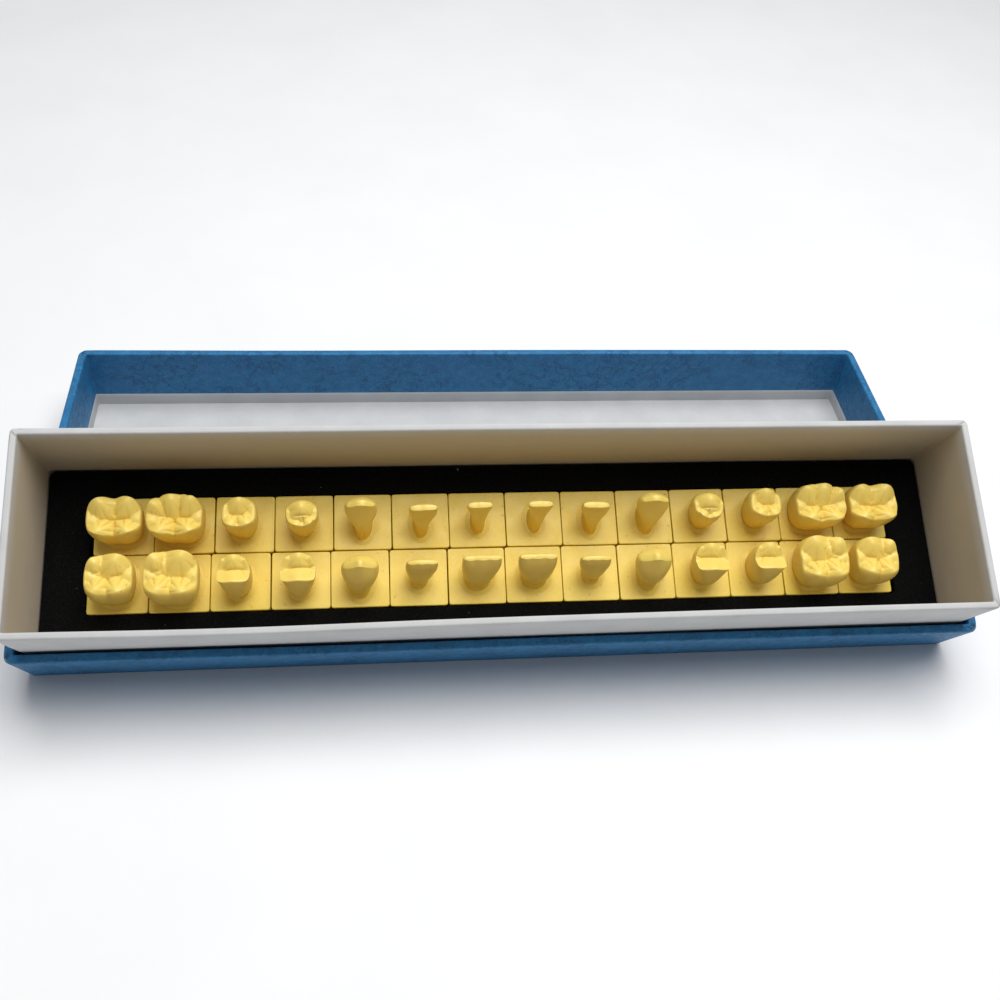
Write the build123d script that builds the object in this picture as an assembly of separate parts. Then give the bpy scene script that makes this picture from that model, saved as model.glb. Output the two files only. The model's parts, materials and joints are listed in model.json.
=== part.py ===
from build123d import *
import os
from math import cos, radians, sin

# Boxed set of enlarged tooth study models: 28 cast teeth, each on its own square block, stand in a
# foam insert inside a rigid paper-covered box. The open box leans on the near wall of its lift-off
# lid, which lies on the table with its hollow side up. Units are millimetres, +Z is up, +X runs
# along the box and -Y is the side the box leans towards.

# Driving dimensions -------------------------------------------------------------------------------
PITCH = 20.0             # one tooth block to the next along a row
BLOCK_SIDE = 19.7
BLOCK_THICK = 10.0
BLOCK_ROUND = 0.6        # vertical corners of a block
BLOCK_BEVEL = 0.35       # worn top edge of a block
TEETH_PER_ROW = 14
ROW_SPACING = 20.1       # centre line of the front row to that of the back row
ROWS_OFF_CENTRE_X = -0.5
ROW_STAGGER = 1.05       # the back row sits this much further along +X than the front row

BOARD = 2.4              # greyboard of the lid and base
NECK_BOARD = 1.8
PAPER = 0.3              # leatherette covering and liners
NECK_PAPER = 0.25
NECK_GAP = 0.9           # air all round between the neck and the base wall

NECK_LENGTH = 317.0
NECK_WIDTH = 66.4
BOX_HEIGHT = 49.3        # underside of the base to the rim of the neck
BASE_HEIGHT = 26.2
LID_HEIGHT = 29.6
BASE_TURN_IN = 15.0      # covering folded over the rim and glued inside
LID_TURN_IN = 21.0
NECK_TURN_DOWN = 29.0    # white covering on the outside of the neck, measured down from its rim

FOAM_PAD = 2.3
FOAM_SLACK = 0.5         # foam to neck, each side
FOAM_BELOW_BLOCK = 0.4   # foam surface under the block tops
BLOCK_SLACK = 0.3        # blocks to the edge of the foam window
BLOCK_FLOAT = 0.2        # blocks over the foam pad

LEAN = 26.0              # degrees the box leans on the lid
LEAN_CLEARANCE = 0.3     # underside of the box over the lid's rim

# Derived sizes ------------------------------------------------------------------------------------
WALL = BOARD + 2 * PAPER
NECK_WALL = NECK_BOARD + 2 * NECK_PAPER
BASE_LENGTH = NECK_LENGTH + 2 * (NECK_GAP + WALL)
BASE_WIDTH = NECK_WIDTH + 2 * (NECK_GAP + WALL)
FLOOR_TOP = PAPER + BOARD
TRAY_LENGTH = NECK_LENGTH - 2 * NECK_WALL
TRAY_WIDTH = NECK_WIDTH - 2 * NECK_WALL
BLOCK_BOTTOM = FLOOR_TOP + FOAM_PAD + BLOCK_FLOAT
BLOCK_TOP = BLOCK_BOTTOM + BLOCK_THICK
FOAM_TOP = BLOCK_TOP - FOAM_BELOW_BLOCK
MIDDLE_Y = BASE_WIDTH / 2

LID_FRONT = (LID_HEIGHT * cos(radians(LEAN)) + LEAN_CLEARANCE) / sin(radians(LEAN))
LEAN_FRONT = (BASE_WIDTH - NECK_WIDTH) / 2 * cos(radians(LEAN)) - BOX_HEIGHT * sin(radians(LEAN))
LID_BACK = LID_FRONT + BASE_WIDTH
FRAME_SHIFT = -(LEAN_FRONT + LID_BACK) / 2

BOX_PLACE = Location((0, FRAME_SHIFT, 0), (LEAN, 0, 0))
LID_PLACE = Location((0, FRAME_SHIFT + LID_FRONT, 0))

# Teeth: mesiodistal and buccolingual crown width, height above the block, the same two widths of
# the neck of the tooth. Back teeth have cusps as (mesial, buccal, radius, drop): the place in
# fractions of the half widths, then the radius and how far the tip is below the highest one. Front
# teeth have a biting edge (length, thickness), set off the block's middle towards the cheek side.
UPPER = {
    "central_incisor": dict(crown=(13.4, 10.0), height=18.5, cervix=(9.4, 9.4),
                            edge=(13.0, 2.0), edge_offset=-1.5),
    "lateral_incisor": dict(crown=(11.0, 8.8), height=17.8, cervix=(6.8, 7.4),
                            edge=(10.4, 1.9), edge_offset=-1.2),
    "canine": dict(crown=(12.6, 12.2), height=19.0, cervix=(7.8, 11.4),
                   edge=(6.4, 4.0), edge_offset=-0.6),
    "first_premolar": dict(crown=(11.8, 13.0), height=17.0, cervix=(7.4, 10.6),
                           cusps=[(0.0, 0.42, 3.6, 0.0), (0.05, -0.46, 3.4, 0.8)]),
    "second_premolar": dict(crown=(11.0, 13.0), height=16.5, cervix=(7.4, 10.4),
                            cusps=[(0.0, 0.42, 3.4, 0.0), (0.05, -0.46, 3.4, 0.4)]),
    "first_molar": dict(crown=(17.4, 17.0), height=15.8, cervix=(12.4, 14.6),
                        cusps=[(0.44, 0.5, 4.0, 0.0), (-0.44, 0.5, 4.0, 0.2),
                               (0.38, -0.46, 4.4, 0.1), (-0.46, -0.5, 3.6, 0.9)]),
    "second_molar": dict(crown=(15.0, 15.8), height=15.2, cervix=(11.6, 13.6),
                         cusps=[(0.44, 0.5, 3.7, 0.0), (-0.44, 0.48, 3.5, 0.3),
                                (0.32, -0.46, 4.1, 0.1), (-0.5, -0.48, 3.0, 1.2)]),
}
LOWER = {
    "central_incisor": dict(crown=(8.7, 9.0), height=17.5, cervix=(4.8, 8.4),
                            edge=(8.3, 1.7), edge_offset=0.8),
    "lateral_incisor": dict(crown=(9.7, 9.4), height=17.6, cervix=(5.2, 8.8),
                            edge=(9.3, 1.8), edge_offset=0.8),
    "canine": dict(crown=(10.8, 11.2), height=19.0, cervix=(6.6, 10.4),
                   edge=(5.4, 3.4), edge_offset=0.5),
    "first_premolar": dict(crown=(11.0, 11.4), height=16.8, cervix=(7.0, 9.6),
                           cusps=[(0.0, 0.3, 3.9, 0.0), (0.0, -0.55, 2.6, 2.6)]),
    "second_premolar": dict(crown=(11.4, 12.0), height=16.4, cervix=(7.8, 9.8),
                            cusps=[(0.0, 0.38, 3.8, 0.0), (0.3, -0.48, 2.8, 1.2),
                                   (-0.36, -0.5, 2.6, 1.6)]),
    "first_molar": dict(crown=(18.6, 14.8), height=15.6, cervix=(13.0, 12.6),
                        cusps=[(0.54, 0.48, 3.5, 0.0), (0.0, 0.52, 3.4, 0.1),
                               (-0.58, 0.34, 3.0, 0.7), (0.42, -0.46, 3.7, 0.2),
                               (-0.42, -0.46, 3.7, 0.3)]),
    "second_molar": dict(crown=(17.8, 14.2), height=15.2, cervix=(12.6, 12.2),
                         cusps=[(0.46, 0.46, 3.7, 0.0), (-0.46, 0.44, 3.6, 0.2),
                                (0.46, -0.46, 3.6, 0.2), (-0.46, -0.46, 3.5, 0.4)]),
}
OUTWARD_ORDER = ["central_incisor", "lateral_incisor", "canine", "first_premolar",
                 "second_premolar", "first_molar", "second_molar"]
TABLE_DROP = 3.6         # cusp tips over the level where a back tooth's walls end


def slab(length, width, low, high):
    """A box centred on the Z axis between two heights."""
    return Pos(0, 0, (low + high) / 2) * Box(length, width, high - low)


def ring(length, width, wall, low, high):
    """Four walls of one thickness, measured on their outside."""
    return slab(length, width, low, high) - slab(length - 2 * wall, width - 2 * wall, low, high)


def open_tray(length, width, wall, floor, low, high):
    """Four walls on a floor."""
    hollow = slab(length - 2 * wall, width - 2 * wall, low + floor, high)
    return slab(length, width, low, high) - hollow


def covered_shell(height, turn_in):
    """Board tray, face sheet and side covering of a lid or base, its closed face at Z = 0."""
    face_sheet = slab(BASE_LENGTH, BASE_WIDTH, 0, PAPER)
    board_length = BASE_LENGTH - 2 * PAPER
    board_width = BASE_WIDTH - 2 * PAPER
    board = open_tray(board_length, board_width, BOARD, BOARD, PAPER, height - PAPER)
    outside = ring(BASE_LENGTH, BASE_WIDTH, PAPER, PAPER, height)
    over_rim = ring(BASE_LENGTH, BASE_WIDTH, WALL, height - PAPER, height)
    inner_length = board_length - 2 * BOARD
    inner_width = board_width - 2 * BOARD
    turned_in = ring(inner_length, inner_width, PAPER, height - turn_in, height)
    return board, face_sheet, outside + over_rim + turned_in


def neck_pieces():
    """The tall inner frame that the lid slides over, and its white covering."""
    board = ring(NECK_LENGTH - 2 * NECK_PAPER, NECK_WIDTH - 2 * NECK_PAPER, NECK_BOARD,
                 FLOOR_TOP, BOX_HEIGHT - NECK_PAPER)
    outside = ring(NECK_LENGTH, NECK_WIDTH, NECK_PAPER, BOX_HEIGHT - NECK_TURN_DOWN, BOX_HEIGHT)
    over_rim = ring(NECK_LENGTH, NECK_WIDTH, NECK_WALL, BOX_HEIGHT - NECK_PAPER, BOX_HEIGHT)
    inside = ring(TRAY_LENGTH + 2 * NECK_PAPER, TRAY_WIDTH + 2 * NECK_PAPER, NECK_PAPER,
                  FLOOR_TOP, BOX_HEIGHT)
    return board, outside + over_rim + inside


def foam_pieces():
    """Foam pad under the blocks, and the insert whose window holds both rows of blocks."""
    length = TRAY_LENGTH - 2 * FOAM_SLACK
    width = TRAY_WIDTH - 2 * FOAM_SLACK
    pad = slab(length, width, FLOOR_TOP, FLOOR_TOP + FOAM_PAD)
    window_length = (TEETH_PER_ROW - 1) * PITCH + BLOCK_SIDE + ROW_STAGGER + 2 * BLOCK_SLACK
    window_width = ROW_SPACING + BLOCK_SIDE + 2 * BLOCK_SLACK
    window = Pos(ROWS_OFF_CENTRE_X, 0, 0) * slab(window_length, window_width, 0, BOX_HEIGHT)
    insert = slab(length, width, FLOOR_TOP + FOAM_PAD, FOAM_TOP) - window
    return pad, insert


def section(size, height, shift=0.0):
    """Rounded outline of a tooth at one height."""
    return Pos(0, shift, height) * RectangleRounded(size[0], size[1], 0.44 * min(size))


def scaled(size, factor):
    return (size[0] * factor, size[1] * factor)


def back_tooth_crown(tooth, mesial, buccal):
    """Premolar or molar: a waisted body with one rounded cusp for each entry."""
    crown, cervix, height = tooth["crown"], tooth["cervix"], tooth["height"]
    table = height - TABLE_DROP
    body = loft([
        section(scaled(cervix, 1.04), 0),
        section(cervix, 0.12 * height),
        section(scaled(crown, 0.97), 0.45 * height),
        section(scaled(crown, 0.98), 0.62 * height),
        section(scaled(crown, 0.86), table),
    ])
    for along, across, radius, drop in tooth["cusps"]:
        centre = (mesial * along * crown[0] / 2, buccal * across * crown[1] / 2)
        body += Pos(centre[0], centre[1], height - drop - radius) * Sphere(radius)
    return body


def front_tooth_crown(tooth, buccal):
    """Incisor or canine: wedge-shaped from the side, spreading towards its biting edge."""
    crown, cervix, height = tooth["crown"], tooth["cervix"], tooth["height"]
    spread = (crown[0], 0.62 * crown[1])
    offset = buccal * tooth["edge_offset"]
    return loft([
        section(scaled(cervix, 1.04), 0),
        section(cervix, 0.12 * height),
        section((0.86 * crown[0], crown[1]), 0.4 * height),
        section(spread, 0.72 * height, 0.5 * offset),
        section(tooth["edge"], height, offset),
    ])


def tooth_on_block(tooth, mesial, buccal):
    """One casting: the square block and the tooth that grows out of its middle."""
    block = slab(BLOCK_SIDE, BLOCK_SIDE, -BLOCK_THICK, 0)
    block = fillet(block.edges().filter_by(Axis.Z), BLOCK_ROUND)
    block = chamfer(block.faces().sort_by(Axis.Z)[-1].edges(), BLOCK_BEVEL)
    if "cusps" in tooth:
        return block + back_tooth_crown(tooth, mesial, buccal)
    return block + front_tooth_crown(tooth, buccal)


def teeth():
    """All teeth by name, placed in the box before it leans."""
    placed = {}
    rows = [("upper", UPPER, -1), ("lower", LOWER, 1)]
    for arch, kinds, buccal in rows:
        row_x = ROWS_OFF_CENTRE_X + buccal * ROW_STAGGER / 2
        row_y = MIDDLE_Y + buccal * ROW_SPACING / 2
        # The upper teeth turn their cheek side to -Y and the lower teeth to +Y, so with the front
        # teeth in the middle of the row the person's left side is at -X in both rows.
        for side, direction in [("left", -1), ("right", 1)]:
            for step, kind in enumerate(OUTWARD_ORDER):
                x = row_x + direction * (step + 0.5) * PITCH
                casting = tooth_on_block(kinds[kind], -direction, buccal)
                placed[f"{arch}_{side}_{kind}"] = Pos(x, row_y, BLOCK_TOP) * casting
    return placed


def box_nodes():
    """Every piece that travels with the box, in the box's own upright frame."""
    base_board, base_face_sheet, base_side_wrap = covered_shell(BASE_HEIGHT, BASE_TURN_IN)
    neck_board, neck_wrap = neck_pieces()
    foam_pad, foam_insert = foam_pieces()
    pieces = {
        "base_board": base_board,
        "base_face_sheet": base_face_sheet,
        "base_side_wrap": base_side_wrap,
        "neck_board": neck_board,
        "neck_wrap": neck_wrap,
        "foam_pad": foam_pad,
        "foam_insert": foam_insert,
    }
    nodes = {name: Pos(0, MIDDLE_Y, 0) * piece for name, piece in pieces.items()}
    nodes.update(teeth())
    return nodes


def lid_nodes():
    """The lid, hollow side up, in its own frame."""
    board, face_sheet, side_wrap = covered_shell(LID_HEIGHT, LID_TURN_IN)
    liner_length = BASE_LENGTH - 2 * PAPER - 2 * BOARD
    liner_width = BASE_WIDTH - 2 * PAPER - 2 * BOARD
    liner = open_tray(liner_length, liner_width, PAPER, PAPER, FLOOR_TOP, LID_HEIGHT - LID_TURN_IN)
    pieces = {
        "lid_board": board,
        "lid_face_sheet": face_sheet,
        "lid_side_wrap": side_wrap,
        "lid_liner": liner,
    }
    return {name: Pos(0, MIDDLE_Y, 0) * piece for name, piece in pieces.items()}


def write(nodes, place):
    for name, piece in nodes.items():
        export_step(place * piece, f"parts/{name}.step")


os.makedirs("parts", exist_ok=True)
write(box_nodes(), BOX_PLACE)
write(lid_nodes(), LID_PLACE)
print(f"lid starts {LID_FRONT:.2f} mm behind the box's lower front edge; frame shift {FRAME_SHIFT:.2f}")
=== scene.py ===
"""Looks of a boxed set of enlarged tooth study models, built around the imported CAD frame."""
import json
import bpy
import numpy as np
from math import atan2, pi, radians
from mathutils import Matrix, Vector

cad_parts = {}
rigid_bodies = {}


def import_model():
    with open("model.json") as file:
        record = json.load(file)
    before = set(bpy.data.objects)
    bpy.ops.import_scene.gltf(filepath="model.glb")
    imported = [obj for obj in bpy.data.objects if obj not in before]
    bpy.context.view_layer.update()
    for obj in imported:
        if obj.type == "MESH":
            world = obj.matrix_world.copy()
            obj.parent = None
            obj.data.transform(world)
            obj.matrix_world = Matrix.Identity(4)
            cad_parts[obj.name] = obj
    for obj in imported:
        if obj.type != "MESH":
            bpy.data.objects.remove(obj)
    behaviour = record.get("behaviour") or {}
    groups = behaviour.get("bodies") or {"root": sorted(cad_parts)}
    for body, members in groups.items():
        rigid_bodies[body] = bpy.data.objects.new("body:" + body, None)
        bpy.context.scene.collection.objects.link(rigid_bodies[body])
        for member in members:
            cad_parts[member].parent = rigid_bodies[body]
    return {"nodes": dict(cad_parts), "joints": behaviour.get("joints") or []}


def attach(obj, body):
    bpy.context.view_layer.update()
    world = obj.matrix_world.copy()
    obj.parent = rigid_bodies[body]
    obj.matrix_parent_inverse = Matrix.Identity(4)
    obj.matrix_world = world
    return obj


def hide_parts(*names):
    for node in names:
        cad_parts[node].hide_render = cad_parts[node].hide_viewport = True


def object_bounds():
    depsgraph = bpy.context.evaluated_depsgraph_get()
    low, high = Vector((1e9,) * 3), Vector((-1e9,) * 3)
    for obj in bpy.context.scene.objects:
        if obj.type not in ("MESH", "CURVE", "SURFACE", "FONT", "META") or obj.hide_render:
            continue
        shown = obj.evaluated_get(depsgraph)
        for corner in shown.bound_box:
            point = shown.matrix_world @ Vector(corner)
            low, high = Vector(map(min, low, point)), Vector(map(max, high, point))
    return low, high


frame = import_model()
CAD_LOW, CAD_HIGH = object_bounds()
MM = 0.001

# Frames. The box leans on its lid. In the box's own frame X runs along it, Y from its front edge
# to its back, and Z along the way a tooth block lifts out; the origin is its lower front edge.
LIFT = Vector(next(j for j in frame["joints"] if j["parent"] == "box")["axis"])
LEANING = Matrix.Rotation(atan2(-LIFT.y, LIFT.z), 4, "X")


def turned_box(node, turn=LEANING):
    """Lowest and highest corner of a CAD node along the axes of a turned frame, in millimetres."""
    back = np.array(turn.inverted().to_3x3())
    points = np.array([v.co for v in frame["nodes"][node].data.vertices]) @ back.T / MM
    return points.min(0), points.max(0)


def frame_at(turn, corner_node):
    """The frame whose origin is the middle of a node's lowest front edge."""
    low, high = turned_box(corner_node, turn)
    return turn @ Matrix.Translation(Vector(((low[0] + high[0]) / 2, low[1], low[2])) * MM)


BOX = frame_at(LEANING, "base_face_sheet")
LID = frame_at(Matrix.Identity(4), "lid_face_sheet")


def box_of(node, place):
    """Corners of a CAD node in a placed frame, in millimetres."""
    back = place.inverted()
    points = np.array([back @ v.co for v in frame["nodes"][node].data.vertices]) / MM
    return points.min(0), points.max(0)


# Small tools


def ease(x):
    """0 below 0, 1 above 1, and a soft step between."""
    x = np.clip(x, 0, 1)
    return x * x * (3 - 2 * x)


def wobble(points, seed, size, scale):
    """Smooth low swell, so that cast and glued things don't look machined."""
    rng = np.random.default_rng(seed)
    total = np.zeros(len(points))
    for _ in range(6):
        wave = rng.normal(size=3) / scale
        total += np.sin(points @ wave + rng.uniform(0, 2 * pi))
    return size * total / 6


def bending(mesh, passes=2):
    """Curvature at each point in 1/mm: above 0 in grooves, below 0 on edges."""
    count = len(mesh.vertices)
    points, normals = np.empty(3 * count), np.empty(3 * count)
    mesh.vertices.foreach_get("co", points)
    mesh.vertex_normals.foreach_get("vector", normals)
    points, normals = points.reshape(-1, 3) / MM, normals.reshape(-1, 3)
    ends = np.empty(2 * len(mesh.edges), np.int32)
    mesh.edges.foreach_get("vertices", ends)
    a, b = ends.reshape(-1, 2).T
    step = points[b] - points[a]
    length = np.maximum(np.sum(step**2, 1), 1e-4)
    near = np.maximum(np.bincount(a, minlength=count) + np.bincount(b, minlength=count), 1)

    def spread(at_a, at_b):
        return (np.bincount(a, at_a, count) + np.bincount(b, at_b, count)) / near

    bend = spread(np.sum(step * normals[a], 1) / length, -np.sum(step * normals[b], 1) / length)
    for _ in range(passes):
        bend = (bend + spread(bend[b], bend[a])) / 2
    return bend


def stand_in(node, suffix, points, faces, place, slot, body, sharp=50, **attributes):
    """A piece in a CAD node's stead, from points in millimetres in a placed frame.

    Edges sharper than sharp degrees stay crisp. The attributes are one value for each point.
    """
    name = f"{node}_{suffix}"
    mesh = bpy.data.meshes.new(name)
    mesh.from_pydata([tuple(p) for p in np.asarray(points) * MM], [], faces)
    mesh.transform(place)
    mesh.validate()
    mesh.polygons.foreach_set("use_smooth", [True] * len(mesh.polygons))
    bend = bending(mesh)
    # Masks for painted shade in hollows (groove) and a painted highlight on convex edges (edge).
    attributes["groove"] = np.clip(bend * 1.6, 0, 1)
    attributes["edge"] = np.clip(-bend - 0.4, 0, 1)
    for label, values in attributes.items():
        layer = mesh.attributes.new(label, "FLOAT", "POINT")
        layer.data.foreach_set("value", np.asarray(values, np.float32))
    mesh.set_sharp_from_angle(angle=radians(sharp))
    mesh.materials.append(LOOKS[slot])
    piece = bpy.data.objects.new(name, mesh)
    bpy.context.scene.collection.objects.link(piece)
    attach(piece, body)
    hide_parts(node)
    return piece


def ring_faces(rings, around, closed=False):
    """Quads between rings of equal point count that follow one another."""
    faces = []
    for i in range(rings if closed else rings - 1):
        a, b = i * around, (i + 1) % rings * around
        for j in range(around):
            after = (j + 1) % around
            faces.append((a + j, a + after, b + after, b + j))
    return faces


# Materials


class Shader:
    """A procedural Principled material and short names for the nodes that feed it."""

    def __init__(self, name, roughness, **fixed):
        self.material = bpy.data.materials.new(name)
        self.material.use_nodes = True
        self.tree = self.material.node_tree
        self.surface = self.tree.nodes["Principled BSDF"]
        self.surface.inputs["Roughness"].default_value = roughness
        for socket, value in fixed.items():
            self.surface.inputs[socket.replace("_", " ")].default_value = value
        self.place = self.tree.nodes.new("ShaderNodeTexCoord").outputs["Object"]

    def node(self, kind, **inputs):
        made = self.tree.nodes.new(kind)
        for key, value in inputs.items():
            self.feed(made.inputs[key.replace("_", " ")], value)
        return made

    def feed(self, socket, value):
        if isinstance(value, bpy.types.NodeSocket):
            self.tree.links.new(value, socket)
        else:
            socket.default_value = value

    def stretched(self, factors):
        """The place in the object with each axis scaled, so that a pattern runs long one way."""
        made = self.node("ShaderNodeMapping", Vector=self.place)
        made.inputs["Scale"].default_value = factors
        return made.outputs["Vector"]

    def noise(self, size_mm, detail=3.0, roughness=0.55, distortion=0.0, where=None):
        made = self.node("ShaderNodeTexNoise", Vector=where or self.place, Scale=1000 / size_mm,
                         Detail=detail, Roughness=roughness, Distortion=distortion)
        return made.outputs["Fac"]

    def ramp(self, value, *stops):
        """A colour ramp through stops of (position, grey or colour)."""
        made = self.node("ShaderNodeValToRGB", Fac=value)
        elements = made.color_ramp.elements
        while len(elements) < len(stops):
            elements.new(0.5)
        for element, (position, shade) in zip(elements, stops):
            element.position = position
            element.color = (*shade, 1) if isinstance(shade, tuple) else (shade, shade, shade, 1)
        return made.outputs["Color"]

    def mix(self, factor, first, second, blend="MIX"):
        made = self.tree.nodes.new("ShaderNodeMix")
        made.data_type = "RGBA"
        made.blend_type = blend
        colours = [s for s in made.inputs if s.type == "RGBA"]
        self.feed(made.inputs["Factor"], factor)
        for socket, value in zip(colours, (first, second)):
            self.feed(socket, (*value, 1) if isinstance(value, tuple) else value)
        return next(s for s in made.outputs if s.type == "RGBA")

    def maths(self, operation, first, second=0.0):
        made = self.tree.nodes.new("ShaderNodeMath")
        made.operation = operation
        self.feed(made.inputs[0], first)
        self.feed(made.inputs[1], second)
        return made.outputs[0]

    def attribute(self, label):
        made = self.tree.nodes.new("ShaderNodeAttribute")
        made.attribute_name = label
        return made.outputs["Fac"]

    def bump(self, height, depth_mm, strength=1.0, under=None):
        made = self.node("ShaderNodeBump", Height=height, Strength=strength, Distance=depth_mm * MM)
        if under is not None:
            self.feed(made.inputs["Normal"], under)
        return made.outputs["Normal"]

    def finish(self, colour, normal, roughness=None):
        self.feed(self.surface.inputs["Base Color"], colour)
        self.feed(self.surface.inputs["Normal"], normal)
        if roughness is not None:
            self.feed(self.surface.inputs["Roughness"], roughness)
        return self.material


def resin():
    """Pale yellow casting resin: satin, faintly mottled, with scuffs and pits, and painted light and
    shade.
    """
    s = Shader("cast_resin", 0.42, Subsurface_Weight=0.12, Subsurface_Scale=0.003,
               Specular_IOR_Level=0.45)
    s.surface.inputs["Subsurface Radius"].default_value = (1.0, 0.7, 0.25)
    body = s.mix(s.ramp(s.noise(9, 2), (0.35, 0.0), (0.7, 1.0)), (0.79, 0.560, 0.060),
                 (0.84, 0.615, 0.082))
    speck = s.ramp(s.noise(0.9, 4, 0.7), (0.42, 0.0), (0.62, 1.0))
    body = s.mix(s.maths("MULTIPLY", speck, 0.25), body, (0.88, 0.72, 0.20))
    # Painted light: paler high on the crown, where the tops of the teeth catch the lamp.
    body = s.mix(s.maths("MULTIPLY", s.attribute("crown"), 0.55), body, (0.88, 0.655, 0.18))
    body = s.mix(s.maths("MULTIPLY", s.attribute("tone"), 0.30), body, (0.87, 0.685, 0.17))
    # Painted shade: darker brown in grooves and hollows.
    body = s.mix(s.maths("MULTIPLY", s.attribute("groove"), 0.35), body, (0.52, 0.31, 0.04))
    # Painted highlight: paler on convex edges.
    body = s.mix(s.maths("MULTIPLY", s.attribute("edge"), 0.25), body, (0.90, 0.74, 0.32))
    # Deeper orange towards the foot of each tooth: partly the thicker resin, partly painted shade.
    body = s.mix(s.maths("MULTIPLY", s.attribute("amber_and_shade"), 0.60), body, (0.80, 0.48, 0.040))
    scratch = s.noise(0.35, 5, 0.65, 0.6, s.stretched((1.0, 0.18, 1.0)))
    rings = s.maths("SINE", s.maths("MULTIPLY", s.attribute("level"), 7.5))
    flats = s.maths("MULTIPLY", s.attribute("flat"), scratch)
    pits = s.ramp(s.noise(1.6, 2, 0.5, 0.3), (0.70, 0.0), (0.74, 1.0))
    body = s.mix(s.maths("MULTIPLY", pits, 0.45), body, (0.45, 0.25, 0.04))
    normal = s.bump(flats, 0.14, 0.6)
    normal = s.bump(s.maths("MULTIPLY", rings, s.attribute("root")), 0.07, 0.6, normal)
    normal = s.bump(s.noise(0.5, 4, 0.6), 0.03, 0.5, normal)
    normal = s.bump(s.noise(3.5, 3), 0.10, 0.5, normal)
    normal = s.bump(s.maths("SUBTRACT", 1.0, pits), 0.12, 0.35, normal)
    rough = s.ramp(s.noise(4, 3), (0.3, 0.34), (0.7, 0.50))
    return s.finish(body, normal, rough)


def foam():
    """Black closed-cell foam with a fine open grain and a few pale specks of dust."""
    s = Shader("black_foam", 1.0, Specular_IOR_Level=0.06)
    cells = s.node("ShaderNodeTexVoronoi", Vector=s.place, Scale=1000 / 0.55).outputs["Distance"]
    grain = s.noise(0.6, 5, 0.7)
    colour = s.ramp(s.maths("MULTIPLY", cells, grain), (0.0, 0.0012), (0.5, 0.006))
    dust = s.ramp(s.noise(1.7, 1, 0.4), (0.80, 0.0), (0.815, 0.12))
    colour = s.mix(1.0, colour, dust, "ADD")
    normal = s.bump(cells, 0.22, 0.8)
    normal = s.bump(grain, 0.16, 0.8, normal)
    return s.finish(colour, normal)


def white_paper():
    """Uncoated paper glued over board: short fibres, soft glue swell, painted bounce light and shade
    inside the tray, and painted shade in its folds.
    """
    s = Shader("white_paper", 0.72, Specular_IOR_Level=0.3)
    mottle = s.noise(14, 4, 0.6)
    fibre = s.noise(0.5, 5, 0.65, 1.2, s.stretched((0.35, 1.0, 1.0)))
    colour = s.mix(s.ramp(mottle, (0.35, 0.0), (0.68, 1.0)), (0.545, 0.545, 0.54),
                   (0.60, 0.60, 0.595))
    # Painted bounce light and shade: warmer and darker on the inner faces of the tray, lit by the
    # yellow castings.
    colour = s.mix(s.attribute("inside"), colour, (0.54, 0.475, 0.375))
    colour = s.mix(s.maths("MULTIPLY", s.ramp(fibre, (0.45, 0.0), (0.7, 1.0)), 0.16), colour,
                   (0.44, 0.43, 0.41))
    # Painted shade: darker along the folds at the corners.
    colour = s.mix(s.maths("MULTIPLY", s.attribute("fold"), 0.7), colour, (0.36, 0.345, 0.32))
    normal = s.bump(fibre, 0.05, 0.5)
    normal = s.bump(s.noise(7, 3, 0.5), 0.25, 0.35, normal)
    return s.finish(colour, normal)


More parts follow.
